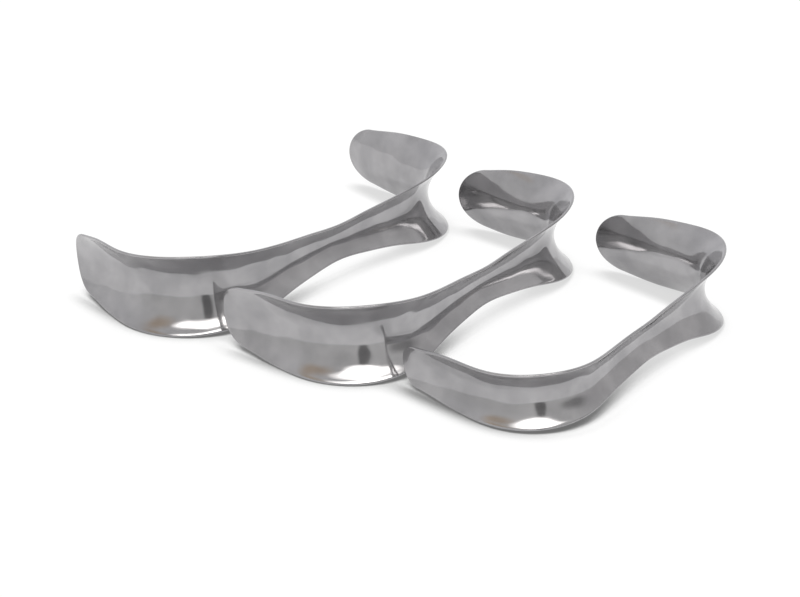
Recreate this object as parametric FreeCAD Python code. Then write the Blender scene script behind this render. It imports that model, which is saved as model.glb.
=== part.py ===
import FreeCAD, Part
import math
import os

# Graduated set of three double-ended vaginal specula, lying in a row on their sides.
# Each is one sheet of steel, pressed into a trough and bent into a C.
# Millimetres. Z is up, every handle runs close to Y and every blade points close to -X.
# The hollow of the trough faces away from the inside of the C.

# The sheet, and the shape that all three sizes share
SHEET = 1.1
WAIST_WIDTH = 17.0
HANDLE_BOW_RADIUS = 500.0
BEND_EASE = 5.6

# Width of the trough as a part of the blade's width, from tip to bend
TIP_WIDTH = 0.8
BLADE_MIDDLE_WIDTH = 0.95
BEND_WIDTH = 1.04
# Part of the step from waist to blade that is left along the neck
NECK_AT_BEND = 0.41
NECK_AT_WAIST = 0.155

# Depth of the trough as a part of its half width
TIP_DEPTH = 0.2
BLADE_MIDDLE_DEPTH = 0.33
BEND_DEPTH = 0.55
WAIST_DEPTH = 0.59

# Length of the rounded tip as a part of the blade's half width
TIP_LENGTH = 0.74

# Where the widths hold: parts of a blade's straight length, then of the handle's length
NEAR_TIP = 0.22
BLADE_MIDDLE = 0.6
NECK_START = 0.12
NECK_END = 0.32

# Distance from one handle to the next along X
ROW_PITCH = 76.5

# Widths and straight lengths of the two blades, angles of their bends, and the handle.
# The front blade is the one nearer -Y. Lean and roll are the tilt at which each one
# balances on its lower rim; row, shift and turn place it among the others.
SIZES = {
    "speculum_large": {
        "front_width": 34.5, "back_width": 36.0,
        "front_length": 44.5, "back_length": 55.0,
        "front_bend": 98.0, "back_bend": 84.0,
        "bend_radius": 33.5, "handle_length": 94.5,
        "lean": 0.2, "roll": -1.8,
        "row": -1, "shift": -7.0, "turn": -1.6,
    },
    "speculum_medium": {
        "front_width": 32.5, "back_width": 35.0,
        "front_length": 45.0, "back_length": 43.0,
        "front_bend": 90.5, "back_bend": 90.5,
        "bend_radius": 30.0, "handle_length": 87.0,
        "lean": 0.5, "roll": -1.9,
        "row": 0, "shift": 0.0, "turn": 1.4,
    },
    "speculum_small": {
        "front_width": 22.5, "back_width": 33.5,
        "front_length": 42.0, "back_length": 48.5,
        "front_bend": 96.5, "back_bend": 86.0,
        "bend_radius": 25.0, "handle_length": 80.0,
        "lean": 2.0, "roll": -2.7,
        "row": 1, "shift": 4.8, "turn": 0.4,
    },
}

# Fineness of the surfaces
SPINE_STEP_COUNT = 1600
STEP_COUNT_PER_POINT = 8
TIP_STATION_COUNT = 5
STATION_STEP = 8.0
ROW_COUNT_ACROSS = 7
ROW_COUNT_ROUND_RIM = 5
SMALLEST_GAP = 1e-7
SEW_GAP = 1e-4

ORIGIN = FreeCAD.Vector(0, 0, 0)
X_AXIS = FreeCAD.Vector(1, 0, 0)
Y_AXIS = FreeCAD.Vector(0, 1, 0)
Z_AXIS = FreeCAD.Vector(0, 0, 1)


def curve_through(points, places):
    """Smooth curve that passes each point at its place."""
    curve = Part.BSplineCurve()
    curve.interpolate(Points=points, Parameters=places)
    return curve


def line_of(values_at_places):
    """Smooth line of one value against place, read with its value's y."""
    places = [place for place, value in values_at_places]
    points = [FreeCAD.Vector(place, value, 0) for place, value in values_at_places]
    return curve_through(points, places)


def surface_through(rows, along, across):
    """Smooth surface through rows of points, each row at one place across."""
    lines = [curve_through(row, along) for row in rows]
    columns = list(zip(*[line.getPoles() for line in lines]))
    lengthwise = lines[0]
    crosswise = curve_through(columns[len(columns) // 2], across)
    net = []
    for column in columns:
        if column[0].isEqual(column[-1], SMALLEST_GAP):
            # All rows meet in one point at a tip
            net.append([column[0]] * crosswise.NbPoles)
        else:
            net.append(curve_through(column, across).getPoles())
    surface = Part.BSplineSurface()
    surface.buildFromPolesMultsKnots(
        net,
        lengthwise.getMultiplicities(), crosswise.getMultiplicities(),
        lengthwise.getKnots(), crosswise.getKnots(),
        False, False, lengthwise.Degree, crosswise.Degree,
    )
    return surface


def even_steps(start, end, count):
    """Places from start to end, both included."""
    return [start + (end - start) * i / (count - 1) for i in range(count)]


def joints_along(size):
    """Places along the sheet where blades, bends and handle meet, from the front tip."""
    front_bend = math.radians(size["front_bend"]) * size["bend_radius"]
    back_bend = math.radians(size["back_bend"]) * size["bend_radius"]
    front_root = size["front_length"]
    handle_start = front_root + front_bend
    handle_end = handle_start + size["handle_length"]
    back_root = handle_end + back_bend
    back_tip = back_root + size["back_length"]
    return front_root, handle_start, handle_end, back_root, back_tip


def spine_of(size):
    """Middle line of the trough's floor, with the handle's middle at the origin along Y."""
    front_root, handle_start, handle_end, back_root, back_tip = joints_along(size)
    bends = [
        (front_root, handle_start, 1 / size["bend_radius"]),
        (handle_start, handle_end, -1 / HANDLE_BOW_RADIUS),
        (handle_end, back_root, 1 / size["bend_radius"]),
    ]

    def heading(place):
        total = 0.0
        for start, end, curvature in bends:
            from_start = math.log(math.cosh((place - start) / BEND_EASE))
            from_end = math.log(math.cosh((place - end) / BEND_EASE))
            total += curvature * BEND_EASE / 2 * (from_start - from_end)
        return total

    middle = (handle_start + handle_end) / 2
    heading_at_middle = heading(middle)
    step = back_tip / SPINE_STEP_COUNT
    point = FreeCAD.Vector(0, 0, 0)
    places = [0.0]
    points = [point]
    for i in range(SPINE_STEP_COUNT):
        angle = heading((i + 0.5) * step) - heading_at_middle + math.pi / 2
        point = point + FreeCAD.Vector(math.cos(angle), math.sin(angle), 0) * step
        if (i + 1) % STEP_COUNT_PER_POINT == 0:
            places.append((i + 1) * step)
            points.append(point)
    middle_point = curve_through(points, places).value(middle)
    return curve_through([point - middle_point for point in points], places)


def half_width_of(size):
    """Half width of the trough against place, rims included."""
    front_root, handle_start, handle_end, back_root, back_tip = joints_along(size)
    waist = WAIST_WIDTH / 2
    handle = size["handle_length"]
    front = size["front_width"] / 2
    back = size["back_width"] / 2
    front_step = front - waist
    back_step = back - waist
    return line_of([
        (0.0, front * TIP_WIDTH),
        (front_root * NEAR_TIP, front * TIP_WIDTH),
        (front_root * BLADE_MIDDLE, front * BLADE_MIDDLE_WIDTH),
        (front_root, front),
        ((front_root + handle_start) / 2, front * BEND_WIDTH),
        (handle_start + handle * NECK_START, waist + front_step * NECK_AT_BEND),
        (handle_start + handle * NECK_END, waist + front_step * NECK_AT_WAIST),
        ((handle_start + handle_end) / 2, waist),
        (handle_end - handle * NECK_END, waist + back_step * NECK_AT_WAIST),
        (handle_end - handle * NECK_START, waist + back_step * NECK_AT_BEND),
        ((handle_end + back_root) / 2, back * BEND_WIDTH),
        (back_root, back),
        (back_tip - size["back_length"] * BLADE_MIDDLE, back * BLADE_MIDDLE_WIDTH),
        (back_tip - size["back_length"] * NEAR_TIP, back * TIP_WIDTH),
        (back_tip, back * TIP_WIDTH),
    ])


def depth_of(size):
    """Depth of the trough against place."""
    front_root, handle_start, handle_end, back_root, back_tip = joints_along(size)
    front = size["front_width"] / 2
    back = size["back_width"] / 2
    waist = WAIST_WIDTH / 2 * WAIST_DEPTH
    return line_of([
        (0.0, front * TIP_DEPTH),
        (front_root / 2, front * BLADE_MIDDLE_DEPTH),
        (front_root, front * BEND_DEPTH),
        ((front_root + handle_start) / 2, front * BEND_DEPTH),
        (handle_start, (front * BEND_DEPTH + waist) / 2),
        ((handle_start + handle_end) / 2, waist),
        (handle_end, (back * BEND_DEPTH + waist) / 2),
        ((handle_end + back_root) / 2, back * BEND_DEPTH),
        (back_root, back * BEND_DEPTH),
        (back_tip - size["back_length"] / 2, back * BLADE_MIDDLE_DEPTH),
        (back_tip, back * TIP_DEPTH),
    ])


def formed_sheet(size):
    """Middle surface of the sheet before its outline is cut: place along, -1 to 1 across."""
    back_tip = joints_along(size)[-1]
    spine = spine_of(size)
    half_width = half_width_of(size)
    depth = depth_of(size)
    places = even_steps(0.0, back_tip, 1 + math.ceil(back_tip / STATION_STEP))
    shares = even_steps(-1.0, 1.0, ROW_COUNT_ACROSS)
    rows = []
    for share in shares:
        row = []
        for place in places:
            outward = spine.tangent(place)[0].cross(Z_AXIS)
            sink = outward * (depth.value(place).y * share**2)
            rise = Z_AXIS * (half_width.value(place).y * share)
            row.append(spine.value(place) + sink + rise)
        rows.append(row)
    return surface_through(rows, places, shares)


def outline_of(size):
    """Edge line of the sheet: place, share of the full width, and the rates of both."""
    back_tip = joints_along(size)[-1]
    rim = SHEET / 2
    front_tip = TIP_LENGTH * size["front_width"] / 2
    end_tip = TIP_LENGTH * size["back_width"] / 2
    turn = math.pi / 2 / TIP_STATION_COUNT
    front = []
    back = []
    for i in range(TIP_STATION_COUNT):
        angle = i * turn
        rise = 1 - math.cos(angle)
        share = math.sin(angle)
        front.append((rim + front_tip * rise, share, front_tip * share, math.cos(angle)))
        back.append((back_tip - rim - end_tip * rise, share, end_tip * share, -math.cos(angle)))
    start = rim + front_tip
    end = back_tip - rim - end_tip
    straight = even_steps(start, end, 1 + math.ceil((end - start) / STATION_STEP))
    return front + [(place, 1.0, 1.0, 0.0) for place in straight] + back[::-1]


def speculum(size):
    """One double-ended speculum: two skins and a rounded rim on each side."""
    sheet = formed_sheet(size)
    half_width = half_width_of(size)
    rim = SHEET / 2
    outline = outline_of(size)

    def edge_share(place, share):
        full = half_width.value(place).y
        return share * (full - rim) / full

    # Distance along the edge line sets the spacing of every row
    along = [0.0]
    edge = [sheet.value(place, edge_share(place, share)) for place, share, _, _ in outline]
    for before, after in zip(edge, edge[1:]):
        along.append(along[-1] + before.distanceToPoint(after))

    steps_across = even_steps(-1.0, 1.0, ROW_COUNT_ACROSS)
    hollow_side = []
    back_side = []
    for step in steps_across:
        hollow_row = []
        back_row = []
        for place, share, _, _ in outline:
            cross_share = step * edge_share(place, share)
            middle = sheet.value(place, cross_share)
            normal = sheet.normal(place, cross_share)
            hollow_row.append(middle + normal * rim)
            back_row.append(middle - normal * rim)
        hollow_side.append(hollow_row)
        back_side.append(back_row)

    across = [step * size["back_width"] / 2 for step in steps_across]
    faces = [
        surface_through(hollow_side, along, across).toShape(),
        surface_through(back_side, along, across).toShape(),
    ]
    round_angles = even_steps(0.0, math.pi, ROW_COUNT_ROUND_RIM)
    round_rim = [angle * rim for angle in round_angles]
    for side in (-1, 1):
        rows = [[] for _ in round_angles]
        for place, share, place_rate, share_rate in outline:
            cross_share = side * edge_share(place, share)
            middle = sheet.value(place, cross_share)
            normal = sheet.normal(place, cross_share)
            lengthwise = sheet.getDN(place, cross_share, 1, 0) * place_rate
            sideways = sheet.getDN(place, cross_share, 0, 1) * (side * share_rate)
            outward = normal.cross(lengthwise + sideways) * side
            outward.normalize()
            for row, angle in zip(rows, round_angles):
                reach = normal * math.cos(angle) + outward * math.sin(angle)
                row.append(middle + reach * rim)
        faces.append(surface_through(rows, along, round_rim).toShape())

    shell = Part.makeShell(faces)
    shell.sewShape(SEW_GAP)
    solid = Part.Solid(shell)
    if solid.Volume < 0:
        solid.reverse()
    return solid


def laid_down(solid, size):
    """The piece turned and set down on the floor at its place in the row."""
    piece = solid.copy()
    piece.rotate(ORIGIN, X_AXIS, size["lean"])
    piece.rotate(ORIGIN, Y_AXIS, size["roll"])
    piece.rotate(ORIGIN, Z_AXIS, size["turn"])
    floor = piece.optimalBoundingBox(False, False).ZMin
    piece.translate(FreeCAD.Vector(size["row"] * ROW_PITCH, size["shift"], -floor))
    return piece


pieces = {}
for name, size in SIZES.items():
    pieces[name] = laid_down(speculum(size), size)

# The origin is on the floor under the middle of the row
row_box = FreeCAD.BoundBox()
for piece in pieces.values():
    row_box.add(piece.optimalBoundingBox(False, False))
row_middle = FreeCAD.Vector(row_box.Center.x, row_box.Center.y, 0)

os.makedirs("parts", exist_ok=True)
for name, piece in pieces.items():
    piece.translate(-row_middle)
    piece.exportStep("parts/" + name + ".step")
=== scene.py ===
import math

import bmesh
import bpy
import numpy as np
from mathutils import Euler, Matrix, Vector


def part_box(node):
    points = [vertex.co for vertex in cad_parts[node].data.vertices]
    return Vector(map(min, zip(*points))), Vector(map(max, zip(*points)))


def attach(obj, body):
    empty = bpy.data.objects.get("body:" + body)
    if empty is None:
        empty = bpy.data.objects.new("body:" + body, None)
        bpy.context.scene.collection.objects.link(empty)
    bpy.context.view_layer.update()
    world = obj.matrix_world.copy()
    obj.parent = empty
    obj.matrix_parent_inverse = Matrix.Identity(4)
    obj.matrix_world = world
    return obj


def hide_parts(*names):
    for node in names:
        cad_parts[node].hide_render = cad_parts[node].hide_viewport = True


# Looks of the graduated set of three double-ended vaginal specula. Metres, in the CAD row's frame.

# The photograph's camera
PHOTO_WIDTH_PX = 800
SENSOR_WIDTH_MM = 36.0
FOCAL_LENGTH_PX = 1442.7
VIEW_AZIMUTH = 40.0
VIEW_ELEVATION = 25.46
VIEW_DISTANCE = 0.6348
VIEW_TARGET = Vector((-0.00379, -0.00008, 0.0))
NEAREST_SEEN = 0.01

# The sheet and its shape in millimetres, as the CAD source has them. The CAD mesh has slivers that
# break up a mirrored edge, so each piece is meshed again here from the same dimensions.
SHEET = 1.1
WAIST_WIDTH = 17.0
HANDLE_BOW_RADIUS = 500.0
BEND_EASE = 5.6
TIP_WIDTH = 0.8
BLADE_MIDDLE_WIDTH = 0.95
BEND_WIDTH = 1.04
NECK_AT_BEND = 0.41
NECK_AT_WAIST = 0.155
TIP_DEPTH = 0.2
BLADE_MIDDLE_DEPTH = 0.33
BEND_DEPTH = 0.55
WAIST_DEPTH = 0.59
TIP_LENGTH = 0.74
NEAR_TIP = 0.22
BLADE_MIDDLE = 0.6
NECK_START = 0.12
NECK_END = 0.32
SIZES = {
    "large": {
        "front_width": 34.5, "back_width": 36.0,
        "front_length": 44.5, "back_length": 55.0,
        "front_bend": 98.0, "back_bend": 84.0,
        "bend_radius": 33.5, "handle_length": 94.5,
        "lean": 0.2, "roll": -1.8, "turn": -1.6,
    },
    "medium": {
        "front_width": 32.5, "back_width": 35.0,
        "front_length": 45.0, "back_length": 43.0,
        "front_bend": 90.5, "back_bend": 90.5,
        "bend_radius": 30.0, "handle_length": 87.0,
        "lean": 0.5, "roll": -1.9, "turn": 1.4,
    },
    "small": {
        "front_width": 22.5, "back_width": 33.5,
        "front_length": 42.0, "back_length": 48.5,
        "front_bend": 96.5, "back_bend": 86.0,
        "bend_radius": 25.0, "handle_length": 80.0,
        "lean": 2.0, "roll": -2.7, "turn": 0.4,
    },
}
MM = 0.001

# Fineness of the meshes. Steps are in millimetres, and the slope step is also a share of the half width
# where it goes across. Points nearer to each other than the last value, in metres, are merged.
SPINE_STEP = 0.1
TIP_STATION_COUNT = 32
STATION_STEP = 1.2
ROW_COUNT_ACROSS = 41
ROW_COUNT_ROUND_RIM = 8
SLOPE_STEP = 0.01
SAME_POINT = 1e-7

# Steel sheet, with a faint violet cast and a light haze over its polish. The polish is its mirror share.
STEEL_DARK = (0.325, 0.321, 0.331, 1.0)
STEEL_LIGHT = (0.420, 0.414, 0.424, 1.0)
POLISH = 0.76
SMOOTHEST = 0.06
ROUGHEST = 0.15

# Smudges, polishing marks and waves. Lengths and heights are in metres, octaves add finer noise, and
# between its two levels of noise a smudge or mark goes from none to full.
SMUDGES_PER_METRE = 70.0
SMUDGE_OCTAVES = 5.0
SMUDGE_LEVELS = (0.35, 0.65)
MARK_LENGTH = 0.030
MARK_WIDTH = 0.0014
MARK_HEIGHT = 0.000008
MARK_OCTAVES = 3.0
MARK_LEVELS = (0.3, 0.7)
WAVE_LENGTH = 0.022
WAVE_LENGTH_UPWARD = 0.01375
WAVE_HEIGHT = 0.0009
WAVE_OCTAVES = 1.0

# Floor. It lights the pieces with its own shade. Looked at or mirrored, it is mostly plain white.
FLOOR_SIZE = 6.0
FLOOR_SHADE = (0.86, 0.86, 0.86, 1.0)
FLOOR_SHADED_SHARE = (0.10, 0.10, 0.10, 1.0)
FLOOR_WHITE = (0.93, 0.93, 0.93, 1.0)
BLACK = (0.0, 0.0, 0.0, 1.0)

# Contact shadow. The levels are how open the floor is within the reach, at the shadow's darkest and where
# it ends. The dark is the share of white that is left there, and a mirrored floor keeps a larger one.
CONTACT_REACH = 0.015
CONTACT_LEVELS = (0.66, 0.90)
CONTACT_DARK = 0.16
MIRRORED_DARK = 0.8

# Along the row's Y the shadow fades behind the handles' middle, where the photograph has none
BLEACH_START = -0.02
BLEACH_END = 0.035
BLEACHED_DARK = 0.72

# Studio walls, from the side by the camera to the far side
NEAR_WALLS = (0.76, 0.76, 0.75, 1.0)
FAR_WALLS = (0.92, 0.92, 0.94, 1.0)
FAR_AZIMUTH = -160.0
FAR_ELEVATION = 30.0

# Soft-edged ovals on the walls, in degrees. Azimuths are from the camera's side, to the right, and an
# edge is the share of the oval's size over which it fades, inward and outward.
SOFTBOX = dict(azimuth=11.0, elevation=53.6, half_width=48.0, half_height=6.8, edge=0.25)
SOFTBOX_LIGHT = (6.0, 5.87, 5.65, 1.0)
PHOTOGRAPHER = dict(azimuth=11.5, elevation=22.0, half_width=7.5, half_height=32.0, edge=0.2)
PHOTOGRAPHER_SHADE = (0.07, 0.07, 0.075, 1.0)
DARK_CORNER = dict(azimuth=66.0, elevation=18.0, half_width=20.0, half_height=12.0, edge=0.4)
DARK_CORNER_SHADE = (0.27, 0.27, 0.27, 1.0)
RIGHT_WALL = dict(azimuth=100.0, elevation=14.0, half_width=30.0, half_height=28.0, edge=0.5)
RIGHT_WALL_SHADE = (0.70, 0.69, 0.69, 1.0)
WARM_CORNER = dict(azimuth=-63.0, elevation=45.5, half_width=21.0, half_height=7.5, edge=0.5)
WARM_CORNER_SHADE = (0.62, 0.49, 0.36, 1.0)


def line_through(values_at_places):
    """Smooth line of one value against place. A cubic through the last four sets each end's slope."""
    places, values = np.array(values_at_places).T
    steps = np.diff(places)
    rises = np.diff(values) / steps
    last = len(steps)
    matrix = np.eye(last + 1)
    right = np.zeros(last + 1)
    for end, four in ((0, slice(0, 4)), (last, slice(last - 3, last + 1))):
        right[end] = np.polyfit(places[four] - places[end], values[four], 3)[2]
    for i in range(1, last):
        matrix[i, i - 1:i + 2] = steps[i], 2 * (steps[i - 1] + steps[i]), steps[i - 1]
        right[i] = 3 * (steps[i] * rises[i - 1] + steps[i - 1] * rises[i])
    slopes = np.linalg.solve(matrix, right)

    def value(place):
        i = np.clip(np.searchsorted(places, place) - 1, 0, last - 1)
        share = (place - places[i]) / steps[i]
        eased_share = share**2 * (3 - 2 * share)
        bulge = slopes[i] * share * (1 - share)**2 - slopes[i + 1] * share**2 * (1 - share)
        return values[i] + (values[i + 1] - values[i]) * eased_share + bulge * steps[i]

    return value


def joints_along(size):
    """Places along the sheet where blades, bends and handle meet, from the front tip."""
    handle_start = size["front_length"] + math.radians(size["front_bend"]) * size["bend_radius"]
    handle_end = handle_start + size["handle_length"]
    back_root = handle_end + math.radians(size["back_bend"]) * size["bend_radius"]
    return size["front_length"], handle_start, handle_end, back_root, back_root + size["back_length"]


def half_width_of(size):
    """Half width of the trough against place, rims included."""
    front_root, handle_start, handle_end, back_root, back_tip = joints_along(size)
    waist = WAIST_WIDTH / 2
    handle = size["handle_length"]
    front = size["front_width"] / 2
    back = size["back_width"] / 2
    return line_through([
        (0.0, front * TIP_WIDTH),
        (front_root * NEAR_TIP, front * TIP_WIDTH),
        (front_root * BLADE_MIDDLE, front * BLADE_MIDDLE_WIDTH),
        (front_root, front),
        ((front_root + handle_start) / 2, front * BEND_WIDTH),
        (handle_start + handle * NECK_START, waist + (front - waist) * NECK_AT_BEND),
        (handle_start + handle * NECK_END, waist + (front - waist) * NECK_AT_WAIST),
        ((handle_start + handle_end) / 2, waist),
        (handle_end - handle * NECK_END, waist + (back - waist) * NECK_AT_WAIST),
        (handle_end - handle * NECK_START, waist + (back - waist) * NECK_AT_BEND),
        ((handle_end + back_root) / 2, back * BEND_WIDTH),
        (back_root, back),
        (back_tip - size["back_length"] * BLADE_MIDDLE, back * BLADE_MIDDLE_WIDTH),
        (back_tip - size["back_length"] * NEAR_TIP, back * TIP_WIDTH),
        (back_tip, back * TIP_WIDTH),
    ])


def depth_of(size):
    """Depth of the trough against place."""
    front_root, handle_start, handle_end, back_root, back_tip = joints_along(size)
    front = size["front_width"] / 2
    back = size["back_width"] / 2
    waist = WAIST_WIDTH / 2 * WAIST_DEPTH
    return line_through([
        (0.0, front * TIP_DEPTH),
        (front_root / 2, front * BLADE_MIDDLE_DEPTH),
        (front_root, front * BEND_DEPTH),
        ((front_root + handle_start) / 2, front * BEND_DEPTH),
        (handle_start, (front * BEND_DEPTH + waist) / 2),
        ((handle_start + handle_end) / 2, waist),
        (handle_end, (back * BEND_DEPTH + waist) / 2),
        ((handle_end + back_root) / 2, back * BEND_DEPTH),
        (back_root, back * BEND_DEPTH),
        (back_tip - size["back_length"] / 2, back * BLADE_MIDDLE_DEPTH),
        (back_tip, back * TIP_DEPTH),
    ])


def formed_sheet(size):
    """Function that gives the points of the sheet's middle for places along and shares across."""
    front_root, handle_start, handle_end, back_root, back_tip = joints_along(size)
    half_width = half_width_of(size)
    depth = depth_of(size)
    bends = (
        (front_root, handle_start, 1 / size["bend_radius"]),
        (handle_start, handle_end, -1 / HANDLE_BOW_RADIUS),
        (handle_end, back_root, 1 / size["bend_radius"]),
    )

    def turned(place):
        total = 0.0
        for start, end, curvature in bends:
            from_start = np.log(np.cosh((place - start) / BEND_EASE))
            from_end = np.log(np.cosh((place - end) / BEND_EASE))
            total = total + curvature * BEND_EASE / 2 * (from_start - from_end)
        return total

    middle = (handle_start + handle_end) / 2

    def heading(place):
        return turned(place) - turned(middle) + math.pi / 2

    count = math.ceil(back_tip / SPINE_STEP)
    ends = np.linspace(0.0, back_tip, count + 1)
    angles = heading((ends[1:] + ends[:-1]) / 2)
    x = np.concatenate([[0.0], np.cumsum(np.cos(angles))]) * back_tip / count
    y = np.concatenate([[0.0], np.cumsum(np.sin(angles))]) * back_tip / count

    def point(place, share):
        sink = depth(place) * share**2
        angle = heading(place)
        return np.stack([
            np.interp(place, ends, x) + np.sin(angle) * sink,
            np.interp(place, ends, y) - np.cos(angle) * sink,
            half_width(place) * share,
        ], axis=-1)

    return point


def outline_of(size):
    """Edge line of the sheet: places, shares of the full width, and the rates of both."""
    back_tip = joints_along(size)[-1]
    rim = SHEET / 2
    front_tip = TIP_LENGTH * size["front_width"] / 2
    end_tip = TIP_LENGTH * size["back_width"] / 2
    start = rim + front_tip
    end = back_tip - rim - end_tip
    angles = np.linspace(0.0, math.pi / 2, TIP_STATION_COUNT, endpoint=False)
    rise = 1 - np.cos(angles)
    share = np.sin(angles)
    straight = np.linspace(start, end, math.ceil((end - start) / STATION_STEP))
    front = np.stack([rim + front_tip * rise, share, front_tip * share, np.cos(angles)])
    along = np.stack([straight, np.ones_like(straight), np.ones_like(straight), np.zeros_like(straight)])
    back = np.stack([back_tip - rim - end_tip * rise, share, end_tip * share, -np.cos(angles)])
    return np.concatenate([front, along, back[:, ::-1]], axis=1)


def unit(vectors):
    """The same directions at length 1."""
    return vectors / np.linalg.norm(vectors, axis=-1, keepdims=True)


def rings_round(size):
    """One ring of points per station: the hollow side, a rounded rim, the back and the other rim."""
    point = formed_sheet(size)
    half_width = half_width_of(size)
    rim = SHEET / 2
    place, share, place_rate, share_rate = outline_of(size)
    edge = share * (1 - rim / half_width(place))

    def rates(place, cross_share):
        lengthwise = point(place + SLOPE_STEP, cross_share) - point(place - SLOPE_STEP, cross_share)
        sideways = point(place, cross_share + SLOPE_STEP) - point(place, cross_share - SLOPE_STEP)
        return lengthwise, sideways

    rows = []
    for step in np.linspace(-1.0, 1.0, ROW_COUNT_ACROSS):
        normal = unit(np.cross(*rates(place, step * edge)))
        rows.append((point(place, step * edge), normal * rim))
    hollow = [middle + reach for middle, reach in rows]
    back = [middle - reach for middle, reach in rows]
    rims = {}
    for side in (-1, 1):
        lengthwise, sideways = rates(place, side * edge)
        normal = unit(np.cross(lengthwise, sideways))
        run = lengthwise * place_rate[:, None] + sideways * (side * share_rate)[:, None]
        outward = unit(np.cross(normal, run)) * side
        middle = point(place, side * edge)
        rims[side] = [
            middle + (normal * math.cos(angle) + outward * math.sin(angle)) * rim
            for angle in np.linspace(0.0, math.pi, ROW_COUNT_ROUND_RIM)[1:-1]
        ]
    return np.stack(hollow + rims[1] + back[::-1] + rims[-1][::-1], axis=1)


def speculum(name, size):
    """Closed mesh of one sheet, tilted as it lies and set where its solid is."""
    rings = rings_round(size)
    station_count, ring_count, _ = rings.shape
    faces = []
    for station in range(station_count - 1):
        for step in range(ring_count):
            here = station * ring_count + step
            beside = station * ring_count + (step + 1) % ring_count
            faces.append((here, beside, beside + ring_count, here + ring_count))
    tilt = Euler([math.radians(size[angle]) for angle in ("lean", "roll", "turn")]).to_matrix()
    points = rings.reshape(-1, 3) @ np.array(tilt).T * MM
    low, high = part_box("speculum_" + name)
    centre = (points.min(axis=0) + points.max(axis=0)) / 2
    points += np.array((low + high) / 2) - centre

    mesh = bpy.data.meshes.new(name + "_sheet")
    mesh.from_pydata(points, [], faces)
    shape = bmesh.new()
    shape.from_mesh(mesh)
    bmesh.ops.remove_doubles(shape, verts=shape.verts, dist=SAME_POINT)
    bmesh.ops.recalc_face_normals(shape, faces=shape.faces)
    for face in shape.faces:
        face.smooth = True
    shape.to_mesh(mesh)
    shape.free()
    item = bpy.data.objects.new(name + "_sheet", mesh)
    bpy.context.scene.collection.objects.link(item)
    return item


def toward(azimuth, elevation):
    """Unit direction, with the azimuth in degrees from the camera's side."""
    turn = math.radians(VIEW_AZIMUTH + azimuth)
    rise = math.radians(elevation)
    return Vector((math.sin(turn) * math.cos(rise), -math.cos(turn) * math.cos(rise), math.sin(rise)))


def node_tree_of(owner):
    """Empty node tree of a material or world."""
    owner.use_nodes = True
    tree = owner.node_tree
    tree.nodes.clear()
    return tree


def feed(tree, source, socket):
    """Give a socket its value, either a plain one or another node's output."""
    if isinstance(source, bpy.types.NodeSocket):
        tree.links.new(source, socket)
    else:
        socket.default_value = source


def worked_out(tree, operation, *values):
    """Result of one operation on one or two values."""
    node = tree.nodes.new("ShaderNodeMath")
    node.operation = operation
    for value, socket in zip(values, node.inputs):
        feed(tree, value, socket)
    return node.outputs["Value"]


def eased(tree, value, low, high, first, last):
    """Value that goes from first to last as the input goes from low to high."""
    node = tree.nodes.new("ShaderNodeMapRange")
    feed(tree, value, node.inputs["Value"])
    feed(tree, low, node.inputs["From Min"])
    feed(tree, high, node.inputs["From Max"])
    feed(tree, first, node.inputs["To Min"])
    feed(tree, last, node.inputs["To Max"])
    return node.outputs["Result"]


def blended(tree, share, first, last):
    """Colour between first and last, by the share of last."""
    node = tree.nodes.new("ShaderNodeMix")
    node.data_type = "RGBA"
    feed(tree, share, node.inputs["Factor"])
    for name, colour in (("A", first), ("B", last)):
        socket = [item for item in node.inputs if item.name == name and item.type == "RGBA"][0]
        feed(tree, colour, socket)
    return [item for item in node.outputs if item.type == "RGBA"][0]


def noise(tree, place, scale, octaves):
    """Noise over the sheet. The scale is one number per axis."""
    stretch = tree.nodes.new("ShaderNodeMapping")
    stretch.inputs["Scale"].default_value = scale
    tree.links.new(place, stretch.inputs["Vector"])
    node = tree.nodes.new("ShaderNodeTexNoise")
    node.inputs["Scale"].default_value = 1.0
    node.inputs["Detail"].default_value = octaves
    tree.links.new(stretch.outputs["Vector"], node.inputs["Vector"])
    return node.outputs["Fac"]


def raised(tree, height, rise, under=None):
    """Surface direction with a height on it, over another such surface where there is one."""
    bump = tree.nodes.new("ShaderNodeBump")
    bump.inputs["Strength"].default_value = 1.0
    bump.inputs["Distance"].default_value = rise
    tree.links.new(height, bump.inputs["Height"])
    if under is not None:
        tree.links.new(under, bump.inputs["Normal"])
    return bump.outputs["Normal"]


def polished_steel():
    """Bright stainless sheet with slight waves, polishing marks along the sheet and faint smudges."""
    material = bpy.data.materials.new("polished_steel")
    tree = node_tree_of(material)
    links = tree.links
    output = tree.nodes.new("ShaderNodeOutputMaterial")
    shader = tree.nodes.new("ShaderNodeBsdfPrincipled")
    shader.inputs["Metallic"].default_value = POLISH
    links.new(shader.outputs["BSDF"], output.inputs["Surface"])

    place = tree.nodes.new("ShaderNodeTexCoord").outputs["Object"]
    smudges = noise(tree, place, (SMUDGES_PER_METRE,) * 3, SMUDGE_OCTAVES)
    marks = noise(tree, place, (1 / MARK_LENGTH, 1 / MARK_LENGTH, 1 / MARK_WIDTH), MARK_OCTAVES)
    waves = noise(tree, place, (1 / WAVE_LENGTH, 1 / WAVE_LENGTH, 1 / WAVE_LENGTH_UPWARD), WAVE_OCTAVES)

    stain = eased(tree, smudges, *SMUDGE_LEVELS, 0.0, 1.0)
    links.new(blended(tree, stain, STEEL_LIGHT, STEEL_DARK), shader.inputs["Base Color"])
    links.new(eased(tree, marks, *MARK_LEVELS, SMOOTHEST, ROUGHEST), shader.inputs["Roughness"])
    waved = raised(tree, waves, WAVE_HEIGHT)
    links.new(raised(tree, marks, MARK_HEIGHT, waved), shader.inputs["Normal"])
    return material


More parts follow.
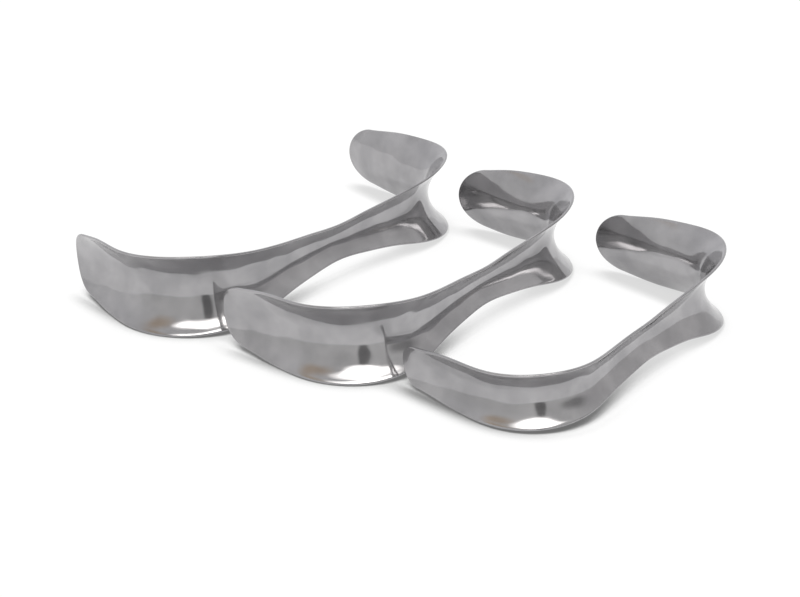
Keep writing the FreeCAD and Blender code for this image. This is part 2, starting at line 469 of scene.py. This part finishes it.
def floor_material():
    """Pale floor that shows white, with a soft dark contact shadow under what stands on it."""
    material = bpy.data.materials.new("floor_white")
    tree = node_tree_of(material)
    links = tree.links
    output = tree.nodes.new("ShaderNodeOutputMaterial")
    lighting = tree.nodes.new("ShaderNodeBsdfDiffuse")
    lighting.inputs["Color"].default_value = FLOOR_SHADE

    path = tree.nodes.new("ShaderNodeLightPath")
    near = tree.nodes.new("ShaderNodeAmbientOcclusion")
    near.inputs["Distance"].default_value = CONTACT_REACH
    place = tree.nodes.new("ShaderNodeSeparateXYZ")
    links.new(tree.nodes.new("ShaderNodeTexCoord").outputs["Object"], place.inputs["Vector"])
    darkest = eased(tree, place.outputs["Y"], BLEACH_START, BLEACH_END, CONTACT_DARK, BLEACHED_DARK)
    shadowed = eased(tree, near.outputs["AO"], *CONTACT_LEVELS, darkest, 1.0)
    least = worked_out(tree, "MULTIPLY", path.outputs["Is Glossy Ray"], MIRRORED_DARK)
    open_share = worked_out(tree, "MAXIMUM", shadowed, least)

    shaded = tree.nodes.new("ShaderNodeBsdfDiffuse")
    links.new(blended(tree, open_share, BLACK, FLOOR_SHADED_SHARE), shaded.inputs["Color"])
    white = tree.nodes.new("ShaderNodeEmission")
    links.new(blended(tree, open_share, BLACK, FLOOR_WHITE), white.inputs["Color"])
    seen = tree.nodes.new("ShaderNodeAddShader")
    links.new(shaded.outputs["BSDF"], seen.inputs[0])
    links.new(white.outputs["Emission"], seen.inputs[1])

    mirrored = worked_out(
        tree, "MAXIMUM", path.outputs["Is Glossy Ray"], path.outputs["Is Transmission Ray"])
    looked_at = worked_out(tree, "MAXIMUM", path.outputs["Is Camera Ray"], mirrored)
    choice = tree.nodes.new("ShaderNodeMixShader")
    links.new(looked_at, choice.inputs["Fac"])
    links.new(lighting.outputs["BSDF"], choice.inputs[1])
    links.new(seen.outputs["Shader"], choice.inputs[2])
    links.new(choice.outputs["Shader"], output.inputs["Surface"])
    return material


def angles_of(tree, direction):
    """Azimuth from the row's -Y side and elevation of a direction, in degrees, as x and y."""
    parts = tree.nodes.new("ShaderNodeSeparateXYZ")
    tree.links.new(direction, parts.inputs["Vector"])
    toward_front = worked_out(tree, "MULTIPLY", parts.outputs["Y"], -1.0)
    azimuth = worked_out(tree, "ARCTAN2", parts.outputs["X"], toward_front)
    elevation = worked_out(tree, "ARCSINE", parts.outputs["Z"])
    both = tree.nodes.new("ShaderNodeCombineXYZ")
    tree.links.new(worked_out(tree, "DEGREES", azimuth), both.inputs["X"])
    tree.links.new(worked_out(tree, "DEGREES", elevation), both.inputs["Y"])
    return both.outputs["Vector"]


def oval(tree, angles, azimuth, elevation, half_width, half_height, edge):
    """Share of a soft-edged oval among the directions, 1 inside and 0 outside."""
    centred = tree.nodes.new("ShaderNodeMapping")
    centred.vector_type = "TEXTURE"
    centred.inputs["Location"].default_value = (VIEW_AZIMUTH + azimuth, elevation, 0.0)
    centred.inputs["Scale"].default_value = (half_width, half_height, 1.0)
    tree.links.new(angles, centred.inputs["Vector"])
    distance = tree.nodes.new("ShaderNodeVectorMath")
    distance.operation = "LENGTH"
    tree.links.new(centred.outputs["Vector"], distance.inputs[0])
    return eased(tree, distance.outputs["Value"], 1.0 - edge, 1.0 + edge, 1.0, 0.0)


def surround():
    """Pale grey studio walls with a long softbox, a warm corner, a dark one and the photographer."""
    world = bpy.data.worlds.new("studio")
    bpy.context.scene.world = world
    tree = node_tree_of(world)
    links = tree.links
    output = tree.nodes.new("ShaderNodeOutputWorld")
    light = tree.nodes.new("ShaderNodeBackground")
    links.new(light.outputs["Background"], output.inputs["Surface"])

    direction = tree.nodes.new("ShaderNodeTexCoord").outputs["Generated"]
    farness = tree.nodes.new("ShaderNodeVectorMath")
    farness.operation = "DOT_PRODUCT"
    farness.inputs[1].default_value = toward(FAR_AZIMUTH, FAR_ELEVATION)
    links.new(direction, farness.inputs[0])
    far_share = eased(tree, farness.outputs["Value"], 0.0, 1.0, 0.0, 1.0)
    colour = blended(tree, far_share, NEAR_WALLS, FAR_WALLS)
    angles = angles_of(tree, direction)
    for place, shade in (
        (RIGHT_WALL, RIGHT_WALL_SHADE),
        (WARM_CORNER, WARM_CORNER_SHADE),
        (DARK_CORNER, DARK_CORNER_SHADE),
        (PHOTOGRAPHER, PHOTOGRAPHER_SHADE),
        (SOFTBOX, SOFTBOX_LIGHT),
    ):
        colour = blended(tree, oval(tree, angles, **place), colour, shade)
    links.new(colour, light.inputs["Color"])


def floor():
    """Wide plain floor, for the picture only."""
    bpy.ops.mesh.primitive_plane_add(size=FLOOR_SIZE)
    item = bpy.context.object
    item.name = "floor"
    item.data.materials.append(floor_material())


def camera():
    """Level camera, aimed at the middle of the photograph."""
    data = bpy.data.cameras.new("camera")
    data.sensor_width = SENSOR_WIDTH_MM
    data.lens = FOCAL_LENGTH_PX * SENSOR_WIDTH_MM / PHOTO_WIDTH_PX
    data.clip_start = NEAREST_SEEN
    item = bpy.data.objects.new("camera", data)
    bpy.context.scene.collection.objects.link(item)
    away = toward(0.0, VIEW_ELEVATION)
    item.location = VIEW_TARGET + away * VIEW_DISTANCE
    item.rotation_euler = away.to_track_quat("Z", "Y").to_euler()
    bpy.context.scene.camera = item


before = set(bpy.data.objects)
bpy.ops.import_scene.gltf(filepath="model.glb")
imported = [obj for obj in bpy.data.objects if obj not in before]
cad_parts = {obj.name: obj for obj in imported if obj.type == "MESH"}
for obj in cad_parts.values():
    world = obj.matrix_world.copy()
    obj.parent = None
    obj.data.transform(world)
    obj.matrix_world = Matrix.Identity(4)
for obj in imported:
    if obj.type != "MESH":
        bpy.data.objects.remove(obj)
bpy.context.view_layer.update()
camera()
floor()
surround()

steel = polished_steel()
for name, size in SIZES.items():
    piece = speculum(name, size)
    piece.data.materials.append(steel)
    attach(piece, name)
    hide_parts("speculum_" + name)

bpy.context.scene.view_settings.view_transform = "Standard"
